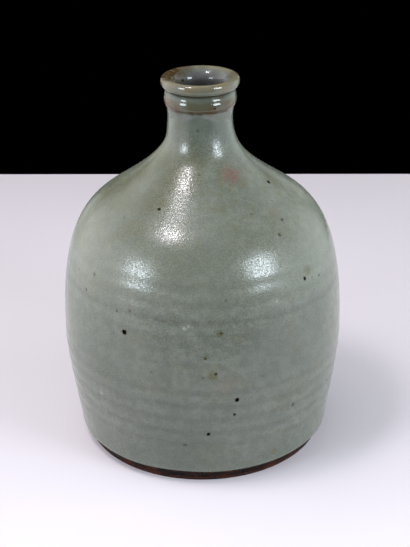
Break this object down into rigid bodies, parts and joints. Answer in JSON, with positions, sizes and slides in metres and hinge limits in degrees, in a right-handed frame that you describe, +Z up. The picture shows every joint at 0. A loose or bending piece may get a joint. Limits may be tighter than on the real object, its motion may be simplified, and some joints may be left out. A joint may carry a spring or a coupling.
{
  "type": "turned bottle",
  "caption": "Round-shouldered stoneware bottle with a short neck, a rolled lip over a raised cordon, a celadon glaze and a bare foot ring; holds liquid.",
  "frame": {"origin": "middle of the foot ring's flat underside, on the bottle's axis", "axes": "+Z up along the bottle's axis, out of its mouth; the bottle is round about it, so +X and +Y are free"},
  "size_m": [0.1688, 0.1688, 0.225],
  "materials": {
    "stoneware": "fired grey stoneware body, matt",
    "bare_stoneware": "bare iron-bearing stoneware, burnt dark red-brown, satin, with turning marks",
    "luting_slip": "fired slip in the luted joints, matt",
    "celadon_glaze": "grey-green celadon glaze, semi-gloss with a fine orange-peel surface, mottled and iron-specked"
  },
  "bodies": {
    "root": {"floor_disc": "bare_stoneware", "foot_ring": "bare_stoneware", "lower_wall": "stoneware", "belly_seam_slip": "luting_slip", "shoulder_dome": "stoneware", "neck_seam_slip": "luting_slip", "neck_tube": "stoneware", "neck_cordon": "stoneware", "mouth_lip": "stoneware", "outer_glaze": "celadon_glaze", "inner_glaze": "celadon_glaze"}
  },
  "joints": []
}
